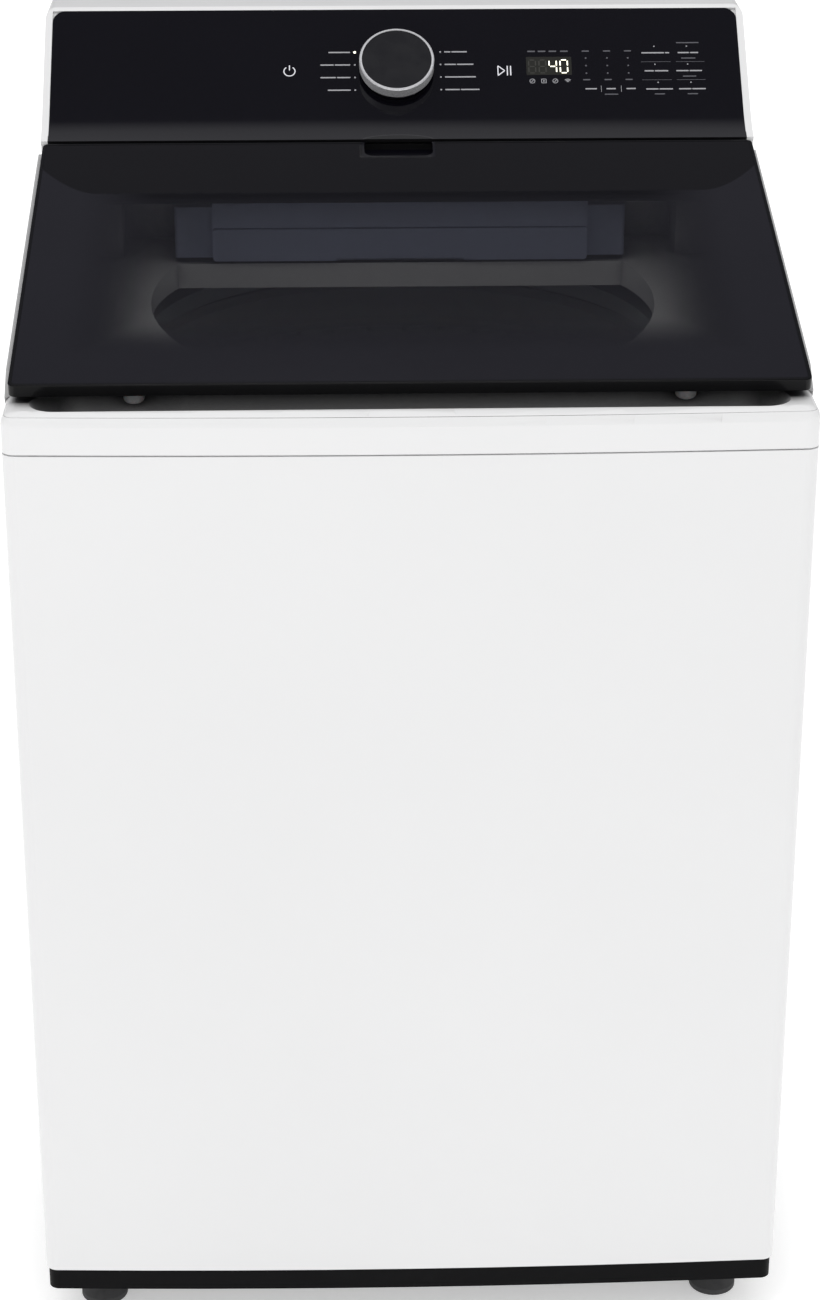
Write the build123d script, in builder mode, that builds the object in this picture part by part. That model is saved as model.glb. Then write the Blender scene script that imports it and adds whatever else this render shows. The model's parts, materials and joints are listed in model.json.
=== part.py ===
from build123d import *
import os
from math import atan2, cos, degrees, hypot, pi, radians, sin, tan

os.makedirs("parts", exist_ok=True)

# Millimetres. X to the viewer's right, the front faces -Y, +Z up, origin on the floor under the middle.
WIDTH = 686.0
HEIGHT = 1130.0
FRONT_Y = -360.5
VALVE_END_Y = 360.5
REAR_Y = 340.0
TROUGH_Y = -323.0
FRONT_BULGE = 7.0
SHEET = 1.2
SHELL = 3.0
PLINTH_Z = 42.0
CABINET_Z = 64.0
SEAM_Z = 873.0
COVER_Z = 874.4
CREST_Z = 909.5

# Lid: a wedge-mounted flat lid, higher at the back.
LID_WIDTH = 675.0
LID_FRONT_Y = -327.5
LID_FRONT_Z = 926.5
LID_REAR_Y = 98.0
LID_REAR_Z = 1026.6
LID_THICK = 11.5
GLASS_THICK = 4.0
LID_SLOPE = atan2(LID_REAR_Z - LID_FRONT_Z, LID_REAR_Y - LID_FRONT_Y)
LID_LENGTH = hypot(LID_REAR_Z - LID_FRONT_Z, LID_REAR_Y - LID_FRONT_Y)
HINGE_Y = 84.0
HINGE_Z = 1012.0
HINGE_PIN_R = 3.0

# Console: a straight face at 42 degrees that curls forward to the lid at its foot.
FACE_SLOPE = radians(42.0)
FACE_TOP = (220.5, 1127.4)
FACE_BEND = (132.5, 1048.2)
FACE_LIP = (101.5, 1028.0)
FASCIA_WIDTH = 666.0
FASCIA_THICK = 3.0
HOUSING_WIDTH = 680.0
BLOCK_Y = 106.0
BLOCK_Z = 985.0

# Dial, on the console face.
DIAL_CENTRE = (0.0, 166.9, 1079.1)
DIAL_R = 36.0
DIAL_HEIGHT = 19.0
DIAL_SHAFT_R = 3.0

# Wash unit, all round one vertical axis.
TUB_Y = -10.0
TUB_R = 306.0
TUB_Z = 215.0
TUB_TOP = 848.0
BASKET_R = 283.0
BASKET_Z = 232.0
BASKET_TOP = 846.0
SPIN_TUBE_R = 15.0
WASH_SHAFT_R = 9.0
RUNNING = 0.05
ROD_OFFSET = 262.0
OPENING_R = 230.0
OPENING_Y = -66.0
OPENING_REAR_Y = 29.0
PUMP_X = -190.0
PUMP_Y = -150.0

# Levelling feet.
FOOT_X = 293.0
FOOT_FRONT_Y = -298.5
FOOT_REAR_Y = 290.0
FOOT_STEM_R = 6.0

LID_PLANE = Plane(
    origin=(0, LID_FRONT_Y, LID_FRONT_Z),
    x_dir=(1, 0, 0),
    z_dir=(0, -sin(LID_SLOPE), cos(LID_SLOPE)),
)
FACE_PLANE = Plane(
    origin=DIAL_CENTRE,
    x_dir=(1, 0, 0),
    z_dir=(0, -sin(FACE_SLOPE), cos(FACE_SLOPE)),
)
FEET = [
    ("foot_front_left", -FOOT_X, FOOT_FRONT_Y),
    ("foot_front_right", FOOT_X, FOOT_FRONT_Y),
    ("foot_rear_left", -FOOT_X, FOOT_REAR_Y),
    ("foot_rear_right", FOOT_X, FOOT_REAR_Y),
]
FOOT_POINTS = [(x, y) for _, x, y in FEET]
ROD_POINTS = [(sx * ROD_OFFSET, TUB_Y + sy * ROD_OFFSET) for sx in (-1, 1) for sy in (-1, 1)]


def plan_outline(z, inset, rear):
    """Cabinet outline in plan at height z, with a bowed front, drawn inward by inset."""
    half = WIDTH / 2 - inset
    corner_y = FRONT_Y + FRONT_BULGE + inset
    with BuildSketch(Plane.XY.offset(z)) as outline:
        with BuildLine():
            ThreePointArc((-half, corner_y), (0, FRONT_Y + inset), (half, corner_y))
            Polyline((half, corner_y), (half, rear), (-half, rear), (-half, corner_y))
        make_face()
        fillet(outline.vertices().group_by(Axis.Y)[0], radius=max(12 - inset, 2))
        fillet(outline.vertices().group_by(Axis.Y)[-1], radius=4)
    return outline.sketch


def side_profile(x, *points):
    """Closed polygon of (y, z) points on the plane at x."""
    with BuildSketch(Plane.YZ.offset(x)) as profile:
        with BuildLine():
            Polyline(*points, close=True)
        make_face()
    return profile.sketch


def ring_profile(*points):
    """Closed polygon of (radius, z) points beside the wash axis."""
    with BuildSketch(Plane.XZ.offset(-TUB_Y)) as profile:
        with BuildLine():
            Polyline(*points, close=True)
        make_face()
    return profile.sketch


def block(x0, x1, y0, y1, z0, z1, mode=Mode.ADD):
    """Box between the given limits, in the open part."""
    with Locations(((x0 + x1) / 2, (y0 + y1) / 2, (z0 + z1) / 2)):
        Box(x1 - x0, y1 - y0, z1 - z0, mode=mode)


def upright(x, y, z0, z1, radius, mode=Mode.ADD):
    """Vertical cylinder between two heights, in the open part."""
    with Locations((x, y, (z0 + z1) / 2)):
        Cylinder(radius, z1 - z0, mode=mode)


def cheek_z(y):
    """Height of the cover's side cheeks, just under the closed lid."""
    return LID_FRONT_Z - LID_THICK - 2.6 + tan(LID_SLOPE) * (y - LID_FRONT_Y)


def deck_z(y):
    """Height of the deck round the tub opening."""
    return CREST_Z + (y + 275.0) * tan(radians(3.4))


WASH_AXIS = Axis((0, TUB_Y, 0), (0, 0, 1))

# ---------------------------------------------------------------- cabinet

with BuildPart() as cabinet_wrap:
    add(plan_outline(CABINET_Z, 0, REAR_Y))
    extrude(amount=SEAM_Z - CABINET_Z)
    extrude(
        plan_outline(CABINET_Z - 1, SHEET, REAR_Y - SHEET),
        amount=SEAM_Z - CABINET_Z + 2,
        mode=Mode.SUBTRACT,
    )
    for flange_z in (CABINET_Z, SEAM_Z - SHEET):
        extrude(plan_outline(flange_z, SHEET, REAR_Y - SHEET), amount=SHEET)
        extrude(plan_outline(flange_z - 1, 15, REAR_Y - 15), amount=SHEET + 2, mode=Mode.SUBTRACT)
    block(-318, 318, REAR_Y - 20, REAR_Y + 5, CABINET_Z - 1, SEAM_Z + 1, mode=Mode.SUBTRACT)

with BuildPart() as rear_panel:
    block(-338, 338, REAR_Y, REAR_Y + 1, CABINET_Z + 2, SEAM_Z - 2)
    with Locations((0, REAR_Y + 1.5, 250), (0, REAR_Y + 1.5, 470), (0, REAR_Y + 1.5, 690)):
        Box(520, 3, 60)
    fillet(rear_panel.edges().filter_by(Axis.Y).group_by(SortBy.LENGTH)[-1], radius=1.2)
    with BuildSketch(Plane.XZ.offset(-REAR_Y - 6)):
        with GridLocations(26, 40, 9, 1):
            with Locations((0, 790)):
                SlotOverall(34, 6, rotation=90)
        with Locations((-230, 150)):
            Circle(15.2)
    extrude(amount=8, mode=Mode.SUBTRACT)

with BuildPart() as base_frame:
    extrude(plan_outline(PLINTH_Z, 5.6, REAR_Y - 4), amount=CABINET_Z - PLINTH_Z)
    extrude(
        plan_outline(PLINTH_Z - 1, 48, REAR_Y - 46),
        amount=CABINET_Z - PLINTH_Z + 2,
        mode=Mode.SUBTRACT,
    )
    extrude(
        plan_outline(PLINTH_Z - 1, 7.6, REAR_Y - 6),
        amount=CABINET_Z - PLINTH_Z - 1,
        mode=Mode.SUBTRACT,
    )
    extrude(plan_outline(PLINTH_Z, 46, REAR_Y - 44), amount=CABINET_Z - PLINTH_Z)
    extrude(
        plan_outline(PLINTH_Z - 1, 48, REAR_Y - 46),
        amount=CABINET_Z - PLINTH_Z + 2,
        mode=Mode.SUBTRACT,
    )
    for foot_x, foot_y in FOOT_POINTS:
        upright(foot_x, foot_y, PLINTH_Z, CABINET_Z, 15)
        upright(foot_x, foot_y, PLINTH_Z - 1, CABINET_Z + 1, FOOT_STEM_R + RUNNING, mode=Mode.SUBTRACT)

with BuildPart() as base_trim:
    extrude(plan_outline(PLINTH_Z - 0.4, 2.4, REAR_Y), amount=CABINET_Z - PLINTH_Z - 0.2)
    extrude(
        plan_outline(PLINTH_Z - 1, 5.2, REAR_Y + 9),
        amount=CABINET_Z - PLINTH_Z + 4,
        mode=Mode.SUBTRACT,
    )
    block(-400, 400, -318, REAR_Y + 20, 0, 100, mode=Mode.SUBTRACT)
    fillet(base_trim.edges().filter_by(Axis.X).group_by(Axis.Z)[0], radius=0.8)

with BuildPart() as corner_brackets:
    for rod_x, rod_y in ROD_POINTS:
        side = 1 if rod_x > 0 else -1
        outer_x = side * 341.2
        outer_y = FRONT_Y + 20 if rod_y < 0 else REAR_Y - 5.5
        with BuildSketch(Plane.XY.offset(858)):
            with BuildLine():
                Polyline(
                    (outer_x, outer_y),
                    (rod_x - side * 18, outer_y),
                    (rod_x - side * 18, rod_y + (18 if rod_y < 0 else -18)),
                    (outer_x, rod_y + (18 if rod_y < 0 else -18)),
                    close=True,
                )
            make_face()
        extrude(amount=4)
        with Locations((rod_x, rod_y, 860)):
            Hole(4.5, depth=10)

with BuildPart() as top_cover:
    extrude(plan_outline(COVER_Z, 0, REAR_Y), amount=CREST_Z - COVER_Z)
    fillet(top_cover.faces().sort_by(Axis.Z)[-1].edges().group_by(Axis.Y)[0], radius=11)
    extrude(
        side_profile(
            -305,
            (-300, 880),
            (-300, deck_z(-300)),
            (BLOCK_Y, deck_z(BLOCK_Y)),
            (BLOCK_Y, 880),
        ),
        amount=610,
    )
    for x0, x1, y0, y1 in (
        (-343, -305, -300, -278),
        (305, 343, -300, -278),
        (-305, -262, 50, 50),
        (262, 305, 50, 50),
    ):
        extrude(
            side_profile(
                x0,
                (y0 + 16, 874.4),
                (y0, CREST_Z - 2),
                (y1, cheek_z(y1)),
                (BLOCK_Y, cheek_z(BLOCK_Y)),
                (BLOCK_Y, 874.4),
            ),
            amount=x1 - x0,
        )
    block(-343, 343, BLOCK_Y, REAR_Y, COVER_Z, BLOCK_Z)
    # Hollow from below.
    extrude(
        plan_outline(COVER_Z - 1, SHELL, REAR_Y - SHELL),
        amount=906.3 - COVER_Z + 1,
        mode=Mode.SUBTRACT,
    )
    extrude(
        side_profile(-302, (-270, 900), (-270, 906.5), (103, deck_z(103) - SHELL), (103, 900)),
        amount=604,
        mode=Mode.SUBTRACT,
    )
    for x0, x1 in ((-340, -308), (308, 340)):
        extrude(
            side_profile(
                x0,
                (-272, 900),
                (-272, cheek_z(-272) - SHELL),
                (52, cheek_z(52) - SHELL),
                (52, 981),
                (103, 981),
                (103, 900),
            ),
            amount=x1 - x0,
            mode=Mode.SUBTRACT,
        )
    for x0, x1 in ((-309, -265), (265, 309)):
        block(x0, x1, 53, 103, 900, 981, mode=Mode.SUBTRACT)
    block(-340, 340, BLOCK_Y + SHELL, REAR_Y - SHELL, 900, BLOCK_Z - SHELL, mode=Mode.SUBTRACT)
    # Hinge pockets beside the back of the lid.
    for x0, x1 in ((-339.6, -265), (265, 339.6)):
        block(x0, x1, 56, BLOCK_Y + 0.01, 984, 1040, mode=Mode.SUBTRACT)
    for x0, x1 in ((-266, -261), (261, 266)):
        block(x0, x1, 76, BLOCK_Y + 0.01, 984, 1040, mode=Mode.SUBTRACT)
    # Finger trough under the lid's front edge.
    with BuildSketch(Plane.XY.offset(CREST_Z - 3.1)):
        with Locations((0, TROUGH_Y)):
            RectangleRounded(642, 47.6, 22.8)
    extrude(amount=-15, taper=35)
    with BuildSketch(Plane.XY.offset(CREST_Z + 0.1)):
        with Locations((0, TROUGH_Y)):
            RectangleRounded(640, 46, 22)
    extrude(amount=-15, taper=35, mode=Mode.SUBTRACT)
    # Skirt round the tub opening.
    with BuildSketch(Plane.XY.offset(904)):
        with Locations((0, OPENING_Y)):
            Circle(OPENING_R + SHELL)
        with Locations((0, OPENING_REAR_Y + SHELL + 250)):
            Rectangle(700, 500, mode=Mode.SUBTRACT)
    extrude(amount=25)
    extrude(
        side_profile(
            -258,
            (-299.6, CREST_Z),
            (-275, CREST_Z),
            (BLOCK_Y, deck_z(BLOCK_Y)),
            (BLOCK_Y, 980),
            (-299.6, 980),
        ),
        amount=516,
        mode=Mode.SUBTRACT,
    )
    with BuildSketch(Plane.XY.offset(880)):
        with Locations((0, OPENING_Y)):
            Circle(OPENING_R)
        with Locations((0, OPENING_REAR_Y + 250)):
            Rectangle(700, 500, mode=Mode.SUBTRACT)
    extrude(amount=60, mode=Mode.SUBTRACT)
    # Passages for the dispenser, the fill hoses and the lid strike.
    block(
        -213,
        213,
        BLOCK_Y - 1,
        BLOCK_Y + SHELL + 1,
        deck_z(BLOCK_Y),
        BLOCK_Z - SHELL,
        mode=Mode.SUBTRACT,
    )
    for hose_x in (140, 190):
        upright(hose_x, 314, 975, 990, 8, mode=Mode.SUBTRACT)
    block(316, 328, -222, -198, 920, 960, mode=Mode.SUBTRACT)
    # Locating rim inside the cabinet's top flange.
    extrude(plan_outline(SEAM_Z, 2.9, REAR_Y - 2.9), amount=6)
    extrude(plan_outline(SEAM_Z - 1, 6.2, REAR_Y - 6.2), amount=9, mode=Mode.SUBTRACT)

# ---------------------------------------------------------------- console

bend_centre = (
    FACE_BEND[0] - sin(FACE_SLOPE) * 119.6,
    FACE_BEND[1] + cos(FACE_SLOPE) * 119.6,
)


def face_curve(depth, start_deg, end_deg):
    """Start, middle and end of the console's foot curve, depth below the surface."""
    reach = 119.6 + depth
    angles = [radians(start_deg), radians((start_deg + end_deg) / 2), radians(end_deg)]
    return [(bend_centre[0] + reach * sin(a), bend_centre[1] - reach * cos(a)) for a in angles]


def face_profile(x, depth_0, depth_1):
    """Band of the console face between two depths below its surface."""
    outer = face_curve(depth_0, 42.0, 24.2)
    inner = face_curve(depth_1, 42.0, 24.2)
    along = (sin(FACE_SLOPE), -cos(FACE_SLOPE))
    top_0 = (FACE_TOP[0] + along[0] * depth_0, FACE_TOP[1] + along[1] * depth_0)
    top_1 = (FACE_TOP[0] + along[0] * depth_1, FACE_TOP[1] + along[1] * depth_1)
    with BuildSketch(Plane.YZ.offset(x)) as profile:
        with BuildLine():
            Line(top_0, outer[0])
            ThreePointArc(*outer)
            Line(outer[2], inner[2])
            ThreePointArc(*reversed(inner))
            Line(inner[0], top_1)
            Line(top_1, top_0)
        make_face()
    return profile.sketch


with BuildPart() as console_housing:
    half = HOUSING_WIDTH / 2
    lip = face_curve(0, 42.0, 24.2)
    with BuildSketch(Plane.YZ.offset(-half)):
        with BuildLine():
            ThreePointArc(*reversed(lip))
            Polyline(
                lip[0],
                FACE_TOP,
                (226, HEIGHT),
                (REAR_Y - 8, HEIGHT),
                (REAR_Y, HEIGHT - 8),
                (REAR_Y, BLOCK_Z),
                (107, BLOCK_Z),
                (107, 1022),
                (lip[2][0] + 1, lip[2][1] - 3),
                lip[2],
            )
        make_face()
    extrude(amount=2 * half)
    top_corners = console_housing.edges().filter_by(Axis.Y).group_by(Axis.Z)[-1]
    fillet(top_corners, radius=9)
    extrude(
        face_profile(-FASCIA_WIDTH / 2 - 0.2, -5, FASCIA_THICK + 0.2),
        amount=FASCIA_WIDTH + 0.4,
        mode=Mode.SUBTRACT,
    )
    extrude(
        side_profile(
            -half + SHELL,
            (110.5, BLOCK_Z - 1),
            (110.5, 1021),
            (136.8, 1043.4),
            (224.8, 1122.6),
            (228, 1126.5),
            (REAR_Y + 1, 1126.5),
            (REAR_Y + 1, BLOCK_Z - 1),
        ),
        amount=2 * (half - SHELL),
        mode=Mode.SUBTRACT,
    )
    with BuildSketch(FACE_PLANE):
        with Locations((95, 0)):
            Rectangle(440, 56)
    extrude(amount=-9, mode=Mode.SUBTRACT)

with BuildPart() as console_fascia:
    extrude(face_profile(-FASCIA_WIDTH / 2, 0, FASCIA_THICK), amount=FASCIA_WIDTH)
    corners = console_fascia.faces().sort_by(Axis.Z)[-1].edges().filter_by(
        lambda e: abs(e.tangent_at(0.5).X) < 0.1,
    )
    fillet(corners, radius=13)
    with Locations(FACE_PLANE):
        Cylinder(5.5, 20, mode=Mode.SUBTRACT)

with BuildPart() as console_rear_cover:
    block(-336.5, 336.5, REAR_Y - 2, REAR_Y - 0.5, BLOCK_Z + 0.5, 1121)
    with BuildSketch(Plane.XZ.offset(-REAR_Y - 2)):
        with Locations((140, 1052), (190, 1052)):
            Circle(14.6)
        with Locations((-280, 1030)):
            Circle(11)
        with GridLocations(16, 1, 8, 1):
            with Locations((-90, 1060)):
                SlotOverall(40, 5, rotation=90)
    extrude(amount=6, mode=Mode.SUBTRACT)

with BuildPart() as cord_gland:
    with BuildSketch(Plane.XZ.offset(-REAR_Y + 6)):
        with Locations((-280, 1030)):
            Circle(10.9)
            Circle(5, mode=Mode.SUBTRACT)
    extrude(amount=-9)
    with BuildSketch(Plane.XZ.offset(-REAR_Y + 0.5)):
        with Locations((-280, 1030)):
            Circle(14)
            Circle(5, mode=Mode.SUBTRACT)
    extrude(amount=-2.5)

with BuildPart() as control_board:
    with BuildSketch(FACE_PLANE.offset(-12)):
        with Locations((97, 0)):
            Rectangle(400, 50)
        Circle(6.5, mode=Mode.SUBTRACT)
    extrude(amount=1.6)
    with BuildSketch(FACE_PLANE.offset(-12)):
        with GridLocations(52, 1, 5, 1):
            with Locations((150, 10)):
                Rectangle(18, 14)
        with Locations((-70, -6)):
            Rectangle(30, 24)
    extrude(amount=-7)

with BuildPart() as display_module:
    with BuildSketch(FACE_PLANE.offset(-10.3)):
        with Locations((149, 0)):
            Rectangle(50, 22)
    extrude(amount=7)

with BuildPart() as dial_encoder:
    with BuildSketch(FACE_PLANE.offset(-24)):
        RectangleRounded(26, 26, 3)
        Circle(DIAL_SHAFT_R + RUNNING, mode=Mode.SUBTRACT)
    extrude(amount=11.8)

with BuildPart() as dial_shaft:
    with BuildSketch(FACE_PLANE.offset(-22)):
        Circle(DIAL_SHAFT_R)
    extrude(amount=35)

with BuildPart() as dial_cap:
    with BuildSketch(FACE_PLANE.offset(1.4)):
        Circle(DIAL_R - 2.4)
    extrude(amount=DIAL_HEIGHT - 2.2)
    with BuildSketch(FACE_PLANE.offset(1.4)):
        Circle(DIAL_R - 5)
        Circle(6, mode=Mode.SUBTRACT)
    extrude(amount=DIAL_HEIGHT - 6, mode=Mode.SUBTRACT)
    with BuildSketch(FACE_PLANE.offset(1.4)):
        Circle(DIAL_SHAFT_R)
    extrude(amount=11.6, mode=Mode.SUBTRACT)

with BuildPart() as dial_ring:
    with BuildSketch(FACE_PLANE.offset(7.5)):
        Circle(DIAL_R)
        Circle(DIAL_R - 2.4, mode=Mode.SUBTRACT)
    extrude(amount=DIAL_HEIGHT - 7.5)
    rim = dial_ring.edges().filter_by(GeomType.CIRCLE).sort_by(Axis.Z)[-2:].sort_by(SortBy.RADIUS)[-1]
    chamfer(rim, length=0.9)

# ---------------------------------------------------------------- water inlet and dispenser

def rear_disc(x, z, y, radius):
    """Disc facing the back of the machine."""
    with BuildSketch(Plane.XZ.offset(-y)) as disc:
        with Locations((x, z)):
            Circle(radius)
    return disc.sketch


valve_parts = []
for valve_x in (140, 190):
    with BuildPart() as valve:
        block(valve_x - 17, valve_x + 17, REAR_Y - 34, REAR_Y - 2.4, 1036, 1068)
        block(valve_x - 13, valve_x + 13, REAR_Y - 36, REAR_Y - 10, 1068, 1094)
        extrude(rear_disc(valve_x, 1052, REAR_Y - 3, 14.4), amount=-5)
        extrude(rear_disc(valve_x, 1052, REAR_Y - 3, 13.2), amount=-(VALVE_END_Y - REAR_Y + 3))
        extrude(rear_disc(valve_x, 1052, REAR_Y + 6, 8.5), amount=-20, mode=Mode.SUBTRACT)
        upright(valve_x, 314, 1022, 1040, 7)
    valve_parts.append(valve)
inlet_valve_cold, inlet_valve_hot = valve_parts

with BuildPart() as fill_hoses:
    for hose_x in (140, 190):
        with BuildLine() as route:
            FilletPolyline((hose_x, 314, 1021.8), (hose_x, 314, 972), (hose_x, 215.3, 972), radius=14)
        with BuildSketch(Plane(origin=(hose_x, 314, 1021.8), z_dir=(0, 0, -1))):
            Circle(6)
        sweep(path=route.line)

with BuildPart() as dispenser_housing:
    block(-212, 212, 33, 215, 932.6, 981)
    block(-172.5, 172.5, 32, 212, 935, 962.5, mode=Mode.SUBTRACT)
    block(-206, 206, 40, 211, 965.5, 978, mode=Mode.SUBTRACT)
    block(-206, -176, 40, 211, 936, 978, mode=Mode.SUBTRACT)
    block(176, 206, 40, 211, 936, 978, mode=Mode.SUBTRACT)
    block(-150, 150, 60, 190, 962, 966, mode=Mode.SUBTRACT)
    fillet(dispenser_housing.edges().filter_by(Axis.Z).group_by(Axis.Y)[0], radius=4)

with BuildPart() as dispenser_fascia:
    block(-176, 176, 27, 32.8, 962.4, 989)
    block(-176, 176, 32.8, 44, 981.2, 984.2)
    fillet(dispenser_fascia.edges().filter_by(Axis.X).sort_by(Axis.Z)[-2:], radius=1)

with BuildPart() as drawer_front:
    block(-176, 176, 24.5, 32.7, 931, 961.5)
    fillet(drawer_front.edges().filter_by(Axis.Y), radius=3)
    extrude(side_profile(-60, (20, 930), (20, 937), (27, 931)), amount=120, mode=Mode.SUBTRACT)

with BuildPart() as drawer_tray:
    block(-171, 171, 32.7, 205, 936, 959.5)
    block(-168.5, 20, 35.2, 202.5, 938, 965, mode=Mode.SUBTRACT)
    block(22.5, 95, 35.2, 202.5, 938, 965, mode=Mode.SUBTRACT)
    block(97.5, 168.5, 35.2, 202.5, 938, 965, mode=Mode.SUBTRACT)
    for post_x in (58.75, 133):
        upright(post_x, 150, 937, 952, 7)

# ---------------------------------------------------------------- lid

with BuildPart() as lid_frame:
    with BuildSketch(LID_PLANE.offset(-LID_THICK)):
        with Locations((0, LID_LENGTH / 2)):
            RectangleRounded(LID_WIDTH, LID_LENGTH, 6)
    extrude(amount=LID_THICK)
    fillet(lid_frame.faces().sort_by(Axis.Z)[-1].edges().filter_by(Axis.X), radius=1)
    with BuildSketch(LID_PLANE):
        with Locations((0, LID_LENGTH / 2)):
            RectangleRounded(LID_WIDTH - 6.4, LID_LENGTH - 6.4, 4)
    extrude(amount=-GLASS_THICK - 0.2, mode=Mode.SUBTRACT)
    with BuildSketch(LID_PLANE):
        with Locations((0, 34 + (LID_LENGTH - 34 - 100) / 2)):
            RectangleRounded(LID_WIDTH - 68, LID_LENGTH - 134, 30)
    extrude(amount=-LID_THICK - 1, mode=Mode.SUBTRACT)
    with BuildSketch(LID_PLANE):
        with Locations((0, LID_LENGTH - 15)):
            Rectangle(70, 32)
    extrude(amount=-LID_THICK - 1, mode=Mode.SUBTRACT)
    for lug_0, lug_1 in ((-335, -327), (-317, -308), (308, 317), (327, 335)):
        with BuildSketch(Plane.YZ.offset(lug_0)):
            with Locations((HINGE_Y, HINGE_Z)):
                Circle(6.4)
        extrude(amount=lug_1 - lug_0)
    for notch_0, notch_1 in ((-326.8, -317.2), (-307.4, -282.6), (282.6, 307.4), (317.2, 326.8)):
        with BuildSketch(Plane.YZ.offset(notch_0)):
            with Locations((HINGE_Y, HINGE_Z)):
                Circle(6.9)
        extrude(amount=notch_1 - notch_0, mode=Mode.SUBTRACT)
    for bore_0 in (-336, 307):
        with BuildSketch(Plane.YZ.offset(bore_0)):
            with Locations((HINGE_Y, HINGE_Z)):
                Circle(HINGE_PIN_R)
        extrude(amount=29, mode=Mode.SUBTRACT)

with BuildPart() as lid_glass:
    with BuildSketch(LID_PLANE.offset(-GLASS_THICK - 0.2)):
        with Locations((0, LID_LENGTH / 2)):
            RectangleRounded(LID_WIDTH - 6.6, LID_LENGTH - 6.6, 4)
        with Locations((0, LID_LENGTH - 15)):
            Rectangle(70, 32, mode=Mode.SUBTRACT)
    extrude(amount=GLASS_THICK)

with BuildPart() as lid_recess_cup:
    with BuildSketch(LID_PLANE.offset(-0.3)):
        with Locations((0, LID_LENGTH - 15.6)):
            Rectangle(69.8, 30.6)
    extrude(amount=-LID_THICK + 0.3)
    with BuildSketch(LID_PLANE):
        with Locations((0, LID_LENGTH - 12)):
            RectangleRounded(65, 33, 9)
    extrude(amount=-8.5, mode=Mode.SUBTRACT)
    fillet(
        lid_recess_cup.faces().filter_by(
            Plane.XY.rotated((degrees(LID_SLOPE), 0, 0))
        ).sort_by(Axis.Z)[0].edges(),
        radius=0.5,
    )

with BuildPart() as lid_hinge_pins:
    for pin_0, pin_1 in ((-335, -285), (285, 335)):
        with BuildSketch(Plane.YZ.offset(pin_0)):
            with Locations((HINGE_Y, HINGE_Z)):
                Circle(HINGE_PIN_R)
        extrude(amount=pin_1 - pin_0)

with BuildPart() as lid_bumpers:
    with BuildSketch(LID_PLANE.offset(-LID_THICK)):
        with Locations((-233, 14), (233, 14)):
            Circle(9)
    extrude(amount=-12)
    fillet(lid_bumpers.edges().filter_by(GeomType.CIRCLE).group_by(Axis.Z)[0], radius=3)

with BuildPart() as lid_strike:
    strike_v = (-210 - LID_FRONT_Y) / cos(LID_SLOPE)
    with BuildSketch(LID_PLANE.offset(-LID_THICK)):
        with Locations((322, strike_v)):
            Rectangle(3, 12)
    extrude(amount=-13)

# The stem leaves the hinge axis down and forward, through the sector that the lid never crosses.
stem = (cos(radians(233)), sin(radians(233)))
stem_side = (-stem[1] * 3, stem[0] * 3)


def hinge_section(x, bore):
    """Knuckle on the hinge axis with its stem, cut by the pin bore, on the plane at x."""
    with BuildSketch(Plane.YZ.offset(x)) as section:
        with Locations((HINGE_Y, HINGE_Z)):
            Circle(6.3)
        with BuildLine():
            Polyline(
                (HINGE_Y + stem_side[0], HINGE_Z + stem_side[1]),
                (HINGE_Y + 31 * stem[0] + stem_side[0], HINGE_Z + 31 * stem[1] + stem_side[1]),
                (HINGE_Y + 31 * stem[0] - stem_side[0], HINGE_Z + 31 * stem[1] - stem_side[1]),
                (HINGE_Y - stem_side[0], HINGE_Z - stem_side[1]),
                close=True,
            )
        make_face()
        with Locations((HINGE_Y, HINGE_Z)):
            Circle(bore, mode=Mode.SUBTRACT)
    return section.sketch


with BuildPart() as lid_hinge_brackets:
    for x0 in (318, -326):
        extrude(hinge_section(x0, HINGE_PIN_R + RUNNING), amount=8)
        block(x0 - 6, x0 + 14, 58, 76, 984.1, 988)

with BuildPart() as lid_dampers:
    for x0 in (284, -306):
        extrude(hinge_section(x0, HINGE_PIN_R + RUNNING), amount=22)
        block(x0 - 4, x0 + 26, 58, 76, 984.1, 988)

with BuildPart() as lid_lock:
    block(309.5, 335, -245, -180, 893, 927)
    block(317, 327, -222, -198, 905, 930, mode=Mode.SUBTRACT)
    block(312, 332, -270, -245, 897, 920)

# ---------------------------------------------------------------- wash unit

with BuildPart() as outer_tub:
    revolve(
        ring_profile(
            (40, TUB_Z),
            (40, TUB_Z + 4),
            (294, TUB_Z + 4),
            (303, TUB_Z + 14),
            (303, TUB_TOP),
            (TUB_R, TUB_TOP),
            (TUB_R, TUB_Z + 12),
            (295, TUB_Z),
        ),
        axis=WASH_AXIS,
    )
    for angle in (45, 135, 225, 315):
        with BuildSketch(
            Plane(
                origin=(0, TUB_Y, 420),
                x_dir=(cos(radians(angle)), sin(radians(angle)), 0),
                z_dir=(0, 0, 1),
            )
        ):
            with Locations((344, 0)):
                Rectangle(84, 46)
            with Locations((hypot(ROD_OFFSET, ROD_OFFSET), 0)):
                Circle(8, mode=Mode.SUBTRACT)
        extrude(amount=16)
    upright(PUMP_X, PUMP_Y, 202, TUB_Z + 1, 12.6)
    upright(PUMP_X, PUMP_Y, 200, TUB_Z + 6, 10, mode=Mode.SUBTRACT)

with BuildPart() as tub_cover:
    revolve(
        ring_profile(
            (238, 856),
            (238, 872),
            (309.4, 872),
            (309.4, 838),
            (306.4, 838),
            (306.4, 848.4),
            (306.4, 869),
            (241, 869),
            (241, 856),
        ),
        axis=WASH_AXIS,
    )

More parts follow.
